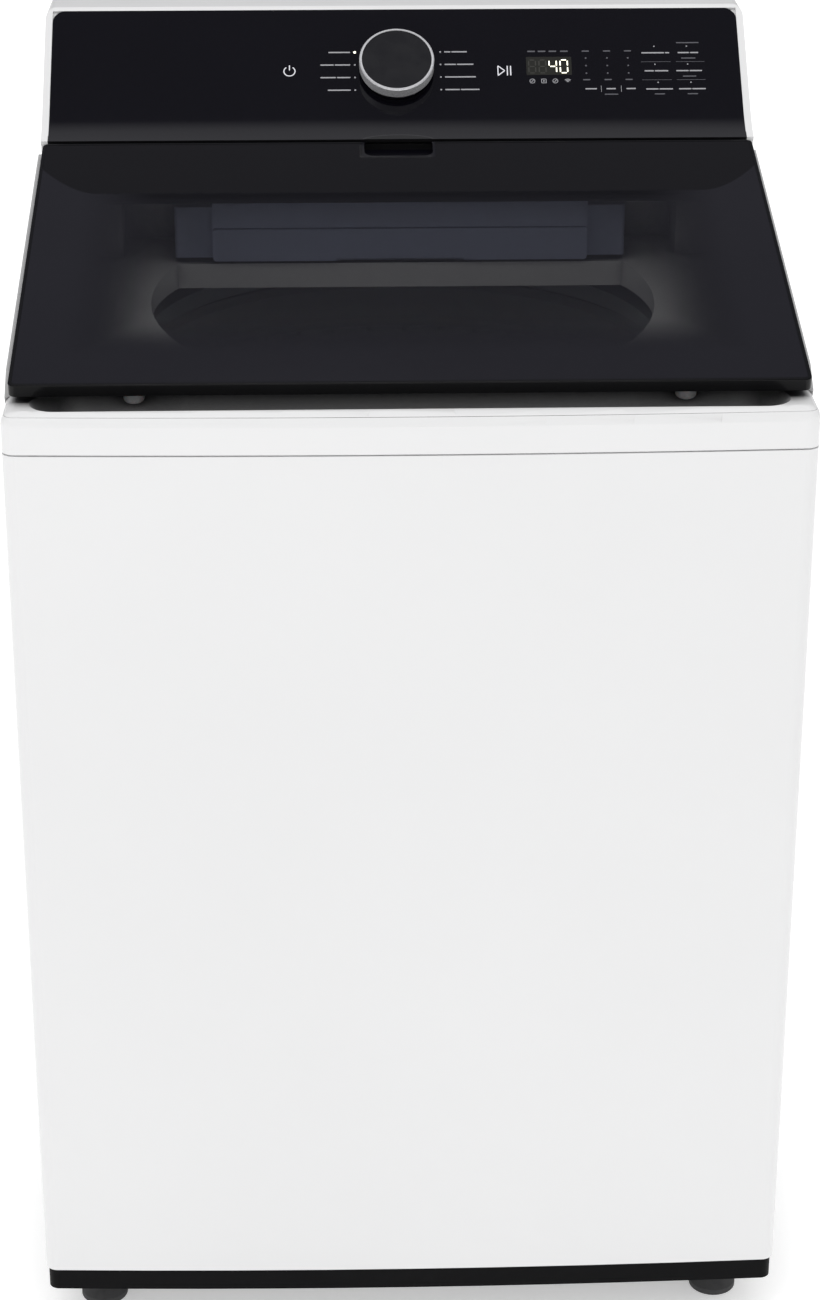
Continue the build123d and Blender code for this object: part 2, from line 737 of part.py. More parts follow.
with BuildPart() as bearing_housing:
    revolve(
        ring_profile(
            (18, 160),
            (18, 176),
            (18, 206),
            (26, 206),
            (26, 221),
            (39.8, 221),
            (39.8, 214.8),
            (112, 214.8),
            (112, 207),
            (40, 202),
            (37, 160),
        ),
        axis=WASH_AXIS,
    )
    revolve(
        ring_profile((17, 159), (17, 176), (26, 176), (26, 159)),
        axis=WASH_AXIS,
        mode=Mode.SUBTRACT,
    )
    for angle in range(0, 360, 60):
        upright(62 * cos(radians(angle)), TUB_Y + 62 * sin(radians(angle)), 160.2, 208, 5)

with BuildPart() as bearings:
    for bearing_z in (161, 206.2):
        revolve(
            ring_profile(
                (SPIN_TUBE_R + RUNNING, bearing_z),
                (SPIN_TUBE_R + RUNNING, bearing_z + 14),
                (26, bearing_z + 14),
                (26, bearing_z),
            ),
            axis=WASH_AXIS,
        )

with BuildPart() as stator:
    revolve(ring_profile((52, 132), (52, 160), (80, 160), (80, 132)), axis=WASH_AXIS)
    for tooth in range(18):
        with BuildSketch(
            Plane(
                origin=(0, TUB_Y, 134),
                x_dir=(cos(tooth * pi / 9), sin(tooth * pi / 9), 0),
                z_dir=(0, 0, 1),
            )
        ):
            with Locations((100, 0)):
                Rectangle(44, 11)
            with Locations((122, 0)):
                Rectangle(6, 30)
        extrude(amount=24)

with BuildPart() as rotor:
    revolve(
        ring_profile(
            (WASH_SHAFT_R, 112),
            (WASH_SHAFT_R, 129),
            (22, 129),
            (22, 119),
            (136.5, 119),
            (136.5, 165),
            (140, 165),
            (140, 116),
            (22, 116),
            (22, 112),
        ),
        axis=WASH_AXIS,
    )
    # Magnets, one ring bonded inside the cup.
    revolve(ring_profile((129, 130), (129, 162), (136.6, 162), (136.6, 130)), axis=WASH_AXIS)

with BuildPart() as clutch_coupler:
    revolve(
        ring_profile((SPIN_TUBE_R + RUNNING, 138), (SPIN_TUBE_R + RUNNING, 151), (24, 151), (24, 138)),
        axis=WASH_AXIS,
    )

with BuildPart() as spin_tube:
    revolve(
        ring_profile(
            (WASH_SHAFT_R + RUNNING, 136),
            (WASH_SHAFT_R + RUNNING, 240),
            (SPIN_TUBE_R, 240),
            (SPIN_TUBE_R, 136),
        ),
        axis=WASH_AXIS,
    )

with BuildPart() as wash_shaft:
    upright(0, TUB_Y, 108, 266, WASH_SHAFT_R)

with BuildPart() as basket_hub:
    revolve(
        ring_profile(
            (SPIN_TUBE_R, 228),
            (SPIN_TUBE_R, 240),
            (34, 240),
            (34, 231.8),
            (160, 231.8),
            (160, 226),
            (50, 224),
            (30, 228),
        ),
        axis=WASH_AXIS,
    )

with BuildPart() as wash_basket:
    revolve(
        ring_profile(
            (34.2, BASKET_Z),
            (34.2, BASKET_Z + 1.2),
            (262, BASKET_Z + 1.2),
            (281.8, BASKET_Z + 22),
            (281.8, BASKET_TOP),
            (BASKET_R, BASKET_TOP),
            (BASKET_R, BASKET_Z + 21),
            (263, BASKET_Z),
        ),
        axis=WASH_AXIS,
    )

with BuildPart() as balance_ring:
    revolve(
        ring_profile(
            (252, 800),
            (241, 812),
            (240, 844),
            (246, 851),
            (278, 851),
            (281.6, 846),
            (281.6, 800),
        ),
        axis=WASH_AXIS,
    )

with BuildPart() as wash_plate:
    revolve(
        ring_profile(
            (WASH_SHAFT_R, 241),
            (WASH_SHAFT_R, 266),
            (40, 262),
            (120, 250),
            (205, 246),
            (222, 252),
            (224, 248),
            (206, 240),
            (118, 244),
            (60, 248),
            (36, 248),
            (36, 241),
        ),
        axis=WASH_AXIS,
    )
    for vane in range(3):
        angle = radians(vane * 120)
        with BuildSketch(
            Plane(origin=(0, TUB_Y, 246), x_dir=(cos(angle), sin(angle), 0), z_dir=(0, 0, 1))
        ):
            with Locations((120, 0)):
                SlotOverall(170, 26)
        extrude(amount=26, taper=14)

with BuildPart() as pump_housing:
    upright(PUMP_X, PUMP_Y, 162, 200, 42)
    upright(PUMP_X, PUMP_Y, 165, 197, 39, mode=Mode.SUBTRACT)
    upright(PUMP_X, PUMP_Y, 199, 214, 16.8)
    with BuildSketch(Plane.XZ.offset(-PUMP_Y)):
        with Locations((PUMP_X - 26, 181)):
            Circle(12)
    extrude(amount=-56)
    with BuildSketch(Plane.XZ.offset(-PUMP_Y)):
        with Locations((PUMP_X - 26, 181)):
            Circle(9.5)
    extrude(amount=-60, mode=Mode.SUBTRACT)
    upright(PUMP_X, PUMP_Y, 165, 197, 39, mode=Mode.SUBTRACT)
    upright(PUMP_X, PUMP_Y, 190, 215, 12.8, mode=Mode.SUBTRACT)
    upright(PUMP_X, PUMP_Y, 160, 168, 4 + RUNNING, mode=Mode.SUBTRACT)

with BuildPart() as pump_motor:
    upright(PUMP_X, PUMP_Y, 112, 161.8, 31)
    upright(PUMP_X, PUMP_Y, 122, 163, 4 + RUNNING, mode=Mode.SUBTRACT)

with BuildPart() as pump_impeller:
    upright(PUMP_X, PUMP_Y, 124, 188, 4)
    upright(PUMP_X, PUMP_Y, 168, 171, 30)
    for vane in range(6):
        angle = radians(vane * 60)
        with BuildSketch(
            Plane(origin=(PUMP_X, PUMP_Y, 170), x_dir=(cos(angle), sin(angle), 0), z_dir=(0, 0, 1))
        ):
            with Locations((16, 0)):
                Rectangle(27, 2.5)
        extrude(amount=16)

with BuildPart() as drain_hose:
    with BuildLine() as hose_route:
        FilletPolyline(
            (
                PUMP_X - 26,
                -93,
                181,
            ), (PUMP_X - 26, -30, 178), (-226, 120, 150), (-230, 250, 150), (-230, 322, 150),
            radius=40,
        )
    with BuildSketch(Plane(origin=(PUMP_X - 26, -93, 181), z_dir=(0, 1, -0.047))):
        Circle(13)
        Circle(10, mode=Mode.SUBTRACT)
    sweep()

with BuildPart() as drain_outlet:
    with BuildSketch(Plane.XZ.offset(-322.2)):
        with Locations((-230, 150)):
            Circle(15)
            Circle(10.5, mode=Mode.SUBTRACT)
    extrude(amount=-36)
    with BuildSketch(Plane.XZ.offset(-334)):
        with Locations((-230, 150)):
            Circle(22)
            Circle(10.5, mode=Mode.SUBTRACT)
    extrude(amount=-5.8)
    with BuildSketch(Plane.XZ.offset(-REAR_Y - 1)):
        with Locations((-230, 150)):
            Circle(19)
            Circle(10.5, mode=Mode.SUBTRACT)
    extrude(amount=-2)

with BuildPart() as suspension_rods:
    for rod_x, rod_y in ROD_POINTS:
        upright(rod_x, rod_y, 318, 868, 4)
        upright(rod_x, rod_y, 862.2, 869, 9)
        upright(rod_x, rod_y, 322, 328, 17)
        upright(rod_x, rod_y, 312, 322, 8)

with BuildPart() as suspension_springs:
    for rod_x, rod_y in ROD_POINTS:
        upright(rod_x, rod_y, 328.3, 411.7, 15)
        upright(rod_x, rod_y, 328, 412, 11, mode=Mode.SUBTRACT)

with BuildPart() as suspension_cups:
    for rod_x, rod_y in ROD_POINTS:
        upright(rod_x, rod_y, 412, 419.8, 18)
        upright(rod_x, rod_y, 411, 421, 5.5, mode=Mode.SUBTRACT)

with BuildPart() as pressure_sensor:
    with BuildSketch(Plane.XZ.offset(-REAR_Y + 0.4)):
        with Locations((-150, 833)):
            Circle(17)
    extrude(amount=11)
    with BuildSketch(Plane.XZ.offset(-REAR_Y + 11)):
        with Locations((-150, 824)):
            Circle(4)
    extrude(amount=7)

# ---------------------------------------------------------------- feet and fasteners

with BuildPart() as foot_lock_nuts:
    for foot_x, foot_y in FOOT_POINTS:
        with BuildSketch(Plane.XY.offset(33)):
            with Locations((foot_x, foot_y)):
                RegularPolygon(11, 6)
                Circle(FOOT_STEM_R + RUNNING, mode=Mode.SUBTRACT)
        extrude(amount=8.9)

foot_parts = []
for foot_name, foot_x, foot_y in FEET:
    with BuildPart() as foot:
        with BuildSketch(Plane(origin=(foot_x, foot_y, 0))):
            Circle(22)
        extrude(amount=6)
        with BuildSketch(Plane(origin=(foot_x, foot_y, 6))):
            Circle(22)
        extrude(amount=9, taper=30)
        upright(foot_x, foot_y, 10, 62, FOOT_STEM_R)
        with BuildSketch(Plane.XY.offset(15)):
            with Locations((foot_x, foot_y)):
                RegularPolygon(11, 6)
        extrude(amount=8)
        fillet(foot.edges().filter_by(GeomType.CIRCLE).group_by(Axis.Z)[0], radius=1.5)
    foot_parts.append((foot_name, foot))

with BuildPart() as rear_screws:
    with BuildSketch(Plane.XZ.offset(-REAR_Y - 1)):
        for screw_z in (90, 360, 580, 850):
            with Locations((-328, screw_z), (328, screw_z)):
                Circle(4.5)
    extrude(amount=-2.6)

PARTS = [
    ("cabinet_wrap", cabinet_wrap),
    ("rear_panel", rear_panel),
    ("base_frame", base_frame),
    ("base_trim", base_trim),
    ("corner_brackets", corner_brackets),
    ("top_cover", top_cover),
    ("console_housing", console_housing),
    ("console_fascia", console_fascia),
    ("console_rear_cover", console_rear_cover),
    ("cord_gland", cord_gland),
    ("control_board", control_board),
    ("display_module", display_module),
    ("dial_encoder", dial_encoder),
    ("dial_shaft", dial_shaft),
    ("dial_cap", dial_cap),
    ("dial_ring", dial_ring),
    ("inlet_valve_cold", inlet_valve_cold),
    ("inlet_valve_hot", inlet_valve_hot),
    ("fill_hoses", fill_hoses),
    ("dispenser_housing", dispenser_housing),
    ("dispenser_fascia", dispenser_fascia),
    ("drawer_front", drawer_front),
    ("drawer_tray", drawer_tray),
    ("lid_frame", lid_frame),
    ("lid_glass", lid_glass),
    ("lid_recess_cup", lid_recess_cup),
    ("lid_hinge_pins", lid_hinge_pins),
    ("lid_bumpers", lid_bumpers),
    ("lid_strike", lid_strike),
    ("lid_hinge_brackets", lid_hinge_brackets),
    ("lid_dampers", lid_dampers),
    ("lid_lock", lid_lock),
    ("outer_tub", outer_tub),
    ("tub_cover", tub_cover),
    ("bearing_housing", bearing_housing),
    ("bearings", bearings),
    ("stator", stator),
    ("rotor", rotor),
    ("clutch_coupler", clutch_coupler),
    ("spin_tube", spin_tube),
    ("wash_shaft", wash_shaft),
    ("basket_hub", basket_hub),
    ("wash_basket", wash_basket),
    ("balance_ring", balance_ring),
    ("wash_plate", wash_plate),
    ("pump_housing", pump_housing),
    ("pump_motor", pump_motor),
    ("pump_impeller", pump_impeller),
    ("drain_hose", drain_hose),
    ("drain_outlet", drain_outlet),
    ("suspension_rods", suspension_rods),
    ("suspension_springs", suspension_springs),
    ("suspension_cups", suspension_cups),
    ("pressure_sensor", pressure_sensor),
    ("foot_lock_nuts", foot_lock_nuts),
    ("rear_screws", rear_screws),
    *foot_parts,
]
for name, piece in PARTS:
    piece.part.label = name
    export_step(piece.part, f"parts/{name}.step")
print(len(PARTS), "parts")
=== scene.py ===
import json
import math

import bmesh
import bpy
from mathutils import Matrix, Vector


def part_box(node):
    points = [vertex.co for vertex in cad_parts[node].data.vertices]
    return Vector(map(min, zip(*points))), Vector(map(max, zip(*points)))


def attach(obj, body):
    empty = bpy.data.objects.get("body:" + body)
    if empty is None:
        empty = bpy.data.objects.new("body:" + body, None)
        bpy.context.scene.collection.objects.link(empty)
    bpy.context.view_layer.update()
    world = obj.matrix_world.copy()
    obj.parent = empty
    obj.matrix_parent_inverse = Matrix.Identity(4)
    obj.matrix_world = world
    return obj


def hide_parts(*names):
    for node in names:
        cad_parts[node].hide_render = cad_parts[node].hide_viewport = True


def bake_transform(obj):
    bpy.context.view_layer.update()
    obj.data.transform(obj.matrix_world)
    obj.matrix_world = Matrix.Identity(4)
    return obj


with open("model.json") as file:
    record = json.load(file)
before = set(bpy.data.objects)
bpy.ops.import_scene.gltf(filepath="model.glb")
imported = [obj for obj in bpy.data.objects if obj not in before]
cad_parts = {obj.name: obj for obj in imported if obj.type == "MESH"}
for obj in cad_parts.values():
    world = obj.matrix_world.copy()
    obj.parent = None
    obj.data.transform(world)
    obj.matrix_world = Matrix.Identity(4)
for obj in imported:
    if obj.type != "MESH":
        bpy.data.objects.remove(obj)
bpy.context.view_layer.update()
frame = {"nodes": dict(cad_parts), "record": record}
NODES = frame["nodes"]

# ------------------------------------------------------------------ geometry facts, in metres

FACE_SLOPE = math.radians(42.0)
# Height above which white plastic gets painted shade in its crevices.
CREVICE_SHADE_FLOOR = 0.885
# Bounds of the painted shade strip on the console housing behind the lid: ahead of y, above z, within x.
GAP_SHADE_BEHIND_LID = (0.1085, 1.003, 0.3335)
TURNED_LINES = 9000.0
FACE_N = Vector((0, -math.sin(FACE_SLOPE), math.cos(FACE_SLOPE)))
FACE_U = Vector((0, math.cos(FACE_SLOPE), math.sin(FACE_SLOPE)))
DIAL_CENTRE = Vector((0, 0.1669, 1.0791))
ACROSS = Vector((1, 0, 0))


def corners(node):
    """Lowest and highest corner of a CAD node at rest."""
    low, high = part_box(node)
    return Vector(low), Vector(high)


BASKET_LOW, BASKET_HIGH = corners("wash_basket")
WASH_Y = (BASKET_LOW.y + BASKET_HIGH.y) / 2


# ------------------------------------------------------------------ material helpers


def shade(colour, factor, lift=0.0):
    """A colour made darker or lighter, kept within range."""
    return tuple(min(c * factor + lift, 1) for c in colour)


class Nodes:
    """Short calls for building one node tree."""

    def __init__(self, name):
        self.mat = bpy.data.materials.new(name)
        self.mat.use_nodes = True
        self.tree = self.mat.node_tree
        self.tree.nodes.clear()
        self.out = self.add("ShaderNodeOutputMaterial")
        self.bsdf = self.add("ShaderNodeBsdfPrincipled")
        self.link(self.bsdf.outputs[0], self.out.inputs[0])
        self.coords = self.add("ShaderNodeTexCoord").outputs["Object"]

    def add(self, kind, **values):
        node = self.tree.nodes.new(kind)
        for key, value in values.items():
            setattr(node, key, value)
        return node

    def link(self, a, b):
        self.tree.links.new(a, b)

    def put(self, **values):
        names = {
            "metal": "Metallic",
            "rough": "Roughness",
            "coat": "Coat Weight",
            "coat_rough": "Coat Roughness",
            "ior": "IOR",
            "spec": "Specular IOR Level",
            "aniso": "Anisotropic",
            "emit": "Emission Strength",
            "sss": "Subsurface Weight",
        }
        for key, value in values.items():
            self.bsdf.inputs[names[key]].default_value = value

    def noise(self, scale, detail=3.0, rough=0.5, stretch=None):
        source = self.coords
        if stretch:
            mapping = self.add("ShaderNodeMapping")
            mapping.inputs["Scale"].default_value = stretch
            self.link(self.coords, mapping.inputs["Vector"])
            source = mapping.outputs[0]
        node = self.add("ShaderNodeTexNoise")
        node.inputs["Scale"].default_value = scale
        node.inputs["Detail"].default_value = detail
        node.inputs["Roughness"].default_value = rough
        self.link(source, node.inputs["Vector"])
        return node.outputs["Fac"]

    def ramp(self, source, *stops):
        node = self.add("ShaderNodeValToRGB")
        points = node.color_ramp.elements
        while len(points) < len(stops):
            points.new(0.5)
        for point, (position, colour) in zip(points, stops):
            point.position = position
            point.color = (*colour, 1) if len(colour) == 3 else colour
        self.link(source, node.inputs[0])
        return node.outputs[0]

    def span(self, source, low, high, to_low, to_high, smooth=False):
        node = self.add("ShaderNodeMapRange", interpolation_type="SMOOTHSTEP" if smooth else "LINEAR")
        limits = {"From Min": low, "From Max": high, "To Min": to_low, "To Max": to_high}
        for name, value in limits.items():
            node.inputs[name].default_value = value
        self.link(source, node.inputs["Value"])
        return node.outputs[0]

    def math(self, op, a, b=None):
        node = self.add("ShaderNodeMath", operation=op)
        for slot, value in enumerate((a, b)):
            if value is None:
                continue
            if hasattr(value, "is_linked"):
                self.link(value, node.inputs[slot])
            else:
                node.inputs[slot].default_value = value
        return node.outputs[0]

    def mix(self, factor, a, b):
        node = self.add("ShaderNodeMix", data_type="RGBA")
        for slot, value in ((0, factor), (6, a), (7, b)):
            if hasattr(value, "is_linked"):
                self.link(value, node.inputs[slot])
            elif slot:
                node.inputs[slot].default_value = (*value, 1)
            else:
                node.inputs[slot].default_value = value
        return node.outputs[2]

    def bump(self, source, strength, distance):
        node = self.add("ShaderNodeBump")
        node.inputs["Strength"].default_value = strength
        node.inputs["Distance"].default_value = distance
        self.link(source, node.inputs["Height"])
        if self.bsdf.inputs["Normal"].is_linked:
            self.link(self.bsdf.inputs["Normal"].links[0].from_socket, node.inputs["Normal"])
        self.link(node.outputs[0], self.bsdf.inputs["Normal"])

    def axis(self, name):
        node = self.add("ShaderNodeSeparateXYZ")
        self.link(self.coords, node.inputs[0])
        return node.outputs[name]

    def edge(self, low=0.52, high=0.62):
        geometry = self.add("ShaderNodeNewGeometry")
        return self.span(geometry.outputs["Pointiness"], low, high, 0.0, 1.0)

    def colour(self, source):
        self.link(source, self.bsdf.inputs["Base Color"])

    def rough(self, source):
        self.link(source, self.bsdf.inputs["Roughness"])


def moulded(name, colour, rough=0.42, grain=900.0, depth=0.00004, vary=0.06, edge_light=0.12, sss=0.0):
    """Moulded plastic: fine grain, slow tone drift, lighter rubbed edges."""
    n = Nodes(name)
    drift = n.noise(6.0, 4.0, 0.6)
    tone = n.ramp(drift, (0.3, shade(colour, 1 - vary)), (0.7, shade(colour, 1 + vary)))
    worn = shade(colour, 1 + edge_light, 0.16 * edge_light)
    n.colour(n.mix(n.edge(), tone, worn))
    n.rough(n.span(n.noise(55.0, 5.0, 0.65), 0.3, 0.7, rough - 0.06, rough + 0.07))
    n.bump(n.noise(grain, 2.0, 0.5), 0.25, depth)
    n.put(coat_rough=0.12, sss=sss)
    return n.mat


def enamel(name, colour, rough=0.34, vary=0.012, crevice_shade=0.0, gap_shade=None, spec=0.45):
    """Baked enamel on sheet: faint orange peel, very slight waviness; if asked, painted shade in crevices and
    a painted shade strip.
    """
    n = Nodes(name)
    drift = n.noise(2.2, 3.0, 0.5)
    tone = n.ramp(drift, (0.3, shade(colour, 1 - vary)), (0.7, shade(colour, 1 + vary)))
    if crevice_shade:
        # Painted shade: near black where ambient occlusion finds little open sky, in crevices and under the
        # lid's front edge.
        # Only above the seam to the cabinet, so that the seam itself keeps its own shadow.
        hollow = n.add("ShaderNodeAmbientOcclusion", samples=24)
        hollow.inputs["Distance"].default_value = crevice_shade
        shut_in = n.span(hollow.outputs["AO"], 0.30, 0.86, 1.0, 0.0)
        upper = n.math("GREATER_THAN", n.axis("Z"), CREVICE_SHADE_FLOOR)
        open_sky = n.math("SUBTRACT", 1.0, n.math("MULTIPLY", shut_in, upper))
        tone = n.mix(open_sky, (0.012, 0.012, 0.013), tone)
    if gap_shade:
        # Painted shade: near black where a strip of the part shows in the gap between lid and console, ahead
        # of y, above z, within x.
        ahead = n.math("LESS_THAN", n.axis("Y"), gap_shade[0])
        above = n.math("GREATER_THAN", n.axis("Z"), gap_shade[1])
        within = n.math("LESS_THAN", n.math("ABSOLUTE", n.axis("X")), gap_shade[2])
        gap_shade_zone = n.math("MULTIPLY", n.math("MULTIPLY", ahead, above), within)
        tone = n.mix(gap_shade_zone, tone, (0.003, 0.003, 0.0035))
    n.colour(tone)
    n.rough(n.span(n.noise(30.0, 6.0, 0.7), 0.3, 0.7, rough - 0.04, rough + 0.05))
    n.bump(n.noise(420.0, 2.0, 0.5), 0.10, 0.00005)
    n.bump(n.noise(3.0, 1.0, 0.4), 0.06, 0.0015)
    n.put(coat=0.25 if spec > 0.3 else 0.0, coat_rough=0.18, spec=spec)
    return n.mat


def metal(name, colour, rough=0.32, stretch=(1, 1, 60), scale=24.0, vary=0.12, aniso=0.3, metallic=1.0):
    """Worked metal: streaks along one direction in tone, roughness and height."""
    n = Nodes(name)
    streak = n.noise(scale, 6.0, 0.7, stretch)
    n.colour(n.ramp(streak, (0.25, shade(colour, 1 - vary)), (0.75, shade(colour, 1 + vary))))
    n.rough(n.span(streak, 0.2, 0.8, rough - 0.08, rough + 0.10))
    n.bump(streak, 0.15, 0.00005)
    n.put(metal=metallic, aniso=aniso)
    return n.mat


def galvanised(name):
    """Zinc coated sheet with its crystal pattern."""
    n = Nodes(name)
    cells = n.add("ShaderNodeTexVoronoi")
    cells.inputs["Scale"].default_value = 70.0
    n.link(n.coords, cells.inputs["Vector"])
    flake = n.add("ShaderNodeSeparateColor")
    n.link(cells.outputs["Color"], flake.inputs[0])
    n.colour(n.ramp(flake.outputs[0], (0.0, (0.44, 0.45, 0.47)), (1.0, (0.63, 0.64, 0.66))))
    n.rough(n.span(flake.outputs[1], 0.0, 1.0, 0.34, 0.52))
    n.bump(n.noise(260.0, 3.0, 0.5), 0.12, 0.00005)
    n.put(metal=0.6)
    return n.mat


def gloss_black(name, colour=(0.0026, 0.0024, 0.0042), rough=0.07, spec=0.42):
    """Piano black: deep tone, a fine dust film in the roughness, very fine grain."""
    n = Nodes(name)
    drift = n.noise(4.0, 2.0, 0.5)
    n.colour(n.ramp(drift, (0.3, shade(colour, 0.9)), (0.7, shade(colour, 1.12))))
    n.rough(n.span(n.noise(90.0, 8.0, 0.75), 0.35, 0.75, rough, rough + 0.07))
    n.bump(n.noise(1200.0, 2.0, 0.5), 0.03, 0.00002)
    n.put(spec=spec)
    return n.mat


def dark_glass(name):
    """Tinted lid glass: see-through window, opaque printed band along the back with swept lower corners."""
    n = Nodes(name)
    x = n.math("ABSOLUTE", n.axis("X"))
    y = n.axis("Y")
    # The band's lower edge runs straight across and sweeps up towards both sides.
    corner = n.math("POWER", n.span(x, 0.282, 0.336, 0.0, 1.0), 1.7)
    line = n.math("MULTIPLY", corner, 0.050)
    band = n.span(n.math("SUBTRACT", y, line), -0.0012, 0.0012, 0.0, 1.0, smooth=True)
    tint = n.ramp(n.noise(3.0, 2.0, 0.5), (0.3, (0.0058, 0.0056, 0.0080)), (0.7, (0.0072, 0.0070, 0.0098)))
    n.colour(n.mix(band, tint, (0.0014, 0.0012, 0.0014)))
    # The see-through part fades into the printed border on every side.
    side = n.span(x, 0.215, 0.300, 0.0, 1.0, smooth=True)
    front = n.span(y, -0.215, -0.285, 0.0, 1.0, smooth=True)
    border = n.math("MAXIMUM", n.math("MAXIMUM", side, front), band)
    alpha = n.span(border, 0.0, 1.0, 0.42, 1.0)
    n.link(alpha, n.bsdf.inputs["Alpha"])
    n.link(n.span(band, 0.0, 1.0, 0.5, 0.34), n.bsdf.inputs["Specular IOR Level"])
    n.rough(n.span(n.noise(60.0, 8.0, 0.75), 0.35, 0.75, 0.035, 0.075))
    n.bump(n.noise(2.0, 1.0, 0.3), 0.02, 0.0006)
    n.put(ior=1.5)
    return n.mat


def brushed_ring(name, centre, normal, colour=(0.70, 0.70, 0.72)):
    """Turned metal: fine circular lines round an axis."""
    n = Nodes(name)
    rel = n.add("ShaderNodeVectorMath", operation="SUBTRACT")
    rel.inputs[1].default_value = centre
    n.link(n.coords, rel.inputs[0])
    along = n.add("ShaderNodeVectorMath", operation="DOT_PRODUCT")
    along.inputs[1].default_value = normal
    n.link(rel.outputs[0], along.inputs[0])
    lines = n.math("SINE", n.math("MULTIPLY", along.outputs["Value"], TURNED_LINES))
    fine = n.noise(700.0, 4.0, 0.7)
    brushed = n.math("ADD", n.math("MULTIPLY", lines, 0.3), fine)
    n.colour(n.ramp(fine, (0.3, shade(colour, 0.86)), (0.7, shade(colour, 1.12))))
    n.rough(n.span(brushed, 0.0, 1.0, 0.22, 0.36))
    n.bump(brushed, 0.2, 0.00004)
    n.put(metal=0.45, aniso=0.5)
    return n.mat


def light_mark(name, colour, strength):
    """Printed or lit legend on the console; on printed marks the emission is a painted glow, on lit display
    marks their own light.
    """
    n = Nodes(name)
    n.colour(n.ramp(n.noise(1500.0, 2.0, 0.5), (0.3, shade(colour, 0.85)), (0.7, colour)))
    n.bsdf.inputs["Emission Color"].default_value = (*colour, 1)
    n.put(emit=strength, rough=0.5)
    return n.mat


def rubber(name, colour=(0.035, 0.035, 0.036)):
    """Matt rubber with a little dust on it."""
    n = Nodes(name)
    dust = n.noise(40.0, 6.0, 0.7)
    n.colour(n.ramp(dust, (0.35, colour), (0.75, shade(colour, 1.7, 0.01))))
    n.rough(n.span(dust, 0.3, 0.7, 0.62, 0.82))
    n.bump(n.noise(600.0, 3.0, 0.6), 0.3, 0.0001)
    return n.mat


def clear_soft(name):
    """Translucent soft plastic of the lid's bumpers."""
    n = Nodes(name)
    n.colour(n.ramp(n.noise(200.0, 3.0, 0.5), (0.3, (0.15, 0.15, 0.155)), (0.7, (0.21, 0.21, 0.215))))
    n.rough(n.span(n.noise(300.0, 3.0, 0.6), 0.3, 0.7, 0.25, 0.38))
    n.put(sss=0.3, coat=0.3, coat_rough=0.2)
    return n.mat


def board(name):
    """Green printed board with a track pattern."""
    n = Nodes(name)
    cells = n.add("ShaderNodeTexVoronoi", distance="MANHATTAN")
    cells.inputs["Scale"].default_value = 220.0
    n.link(n.coords, cells.inputs["Vector"])
    n.colour(n.ramp(cells.outputs["Distance"], (0.25, (0.02, 0.10, 0.045)), (0.45, (0.035, 0.17, 0.08))))
    n.put(rough=0.4, coat=0.3)
    return n.mat


WHITE = enamel("white_paint", (0.722, 0.722, 0.725))
# White plastic parts get painted shade in their crevices.
WHITE_PLASTIC = enamel("white_plastic", (0.728, 0.728, 0.731), rough=0.38, crevice_shade=0.035)
# The console housing gets a painted shade strip in the gap behind the lid.
CONSOLE_WHITE = enamel("console_white", (0.728, 0.728, 0.731), rough=0.38, gap_shade=GAP_SHADE_BEHIND_LID)
PIANO = gloss_black("black_gloss")
PLASTIC_BLACK = enamel("black_plastic", (0.0030, 0.0030, 0.0034), rough=0.5, vary=0.15, spec=0.08)
FRAME_BLACK = enamel("frame_steel", (0.02, 0.02, 0.021), rough=0.5, vary=0.1)
ZINC = galvanised("galvanised")
GLASS = dark_glass("glass")
SILVER = brushed_ring("silver", DIAL_CENTRE, FACE_N)
DIAL_DARK = moulded(
    "dial_dark", (0.0050, 0.0050, 0.0070), rough=0.34, grain=1600.0, depth=0.00001, vary=0.04, edge_light=0.0
)
STEEL = metal("steel", (0.72, 0.73, 0.74), rough=0.30, vary=0.04, metallic=0.40)
BRIGHT = metal("bright_steel", (0.58, 0.59, 0.61), rough=0.30, stretch=(1, 1, 12), metallic=0.6)
CAST = metal(
    "aluminium", (0.56, 0.57, 0.58), rough=0.5, stretch=(1, 1, 1), scale=60.0, aniso=0.0, metallic=0.6
)
GREY = moulded("grey_plastic", (0.40, 0.43, 0.48), rough=0.45)
DRAWER = moulded("drawer_plastic", (0.33, 0.36, 0.50), rough=0.36, vary=0.05)
MILKY = moulded("tub_plastic", (0.58, 0.59, 0.60), rough=0.5, vary=0.04, sss=0.1)
RUBBER = rubber("rubber")
CLEAR = clear_soft("clear_rubber")
BOARD = board("board")
WOUND = metal("copper_iron", (0.45, 0.24, 0.13), rough=0.4, stretch=(1, 1, 40))
PRESSED = enamel("magnet_steel", (0.12, 0.125, 0.13), rough=0.45, vary=0.08)
# Printed legends, symbols and the unlit digits glow faintly: a painted glow, as they are no lamp.
MARK = light_mark("legend_mark", (0.34, 0.34, 0.36), 0.12)
BRIGHT_MARK = light_mark("symbol_mark", (0.62, 0.62, 0.66), 0.35)
MARK_DIM = light_mark("legend_dim", (0.10, 0.10, 0.115), 0.04)
LIT = light_mark("display_lit", (1.0, 0.97, 0.80), 1.6)
UNLIT = light_mark("display_unlit", (0.040, 0.040, 0.034), 0.03)
SHADE = enamel("display_shade", (0.017, 0.017, 0.014), rough=0.35, vary=0.1, spec=0.3)

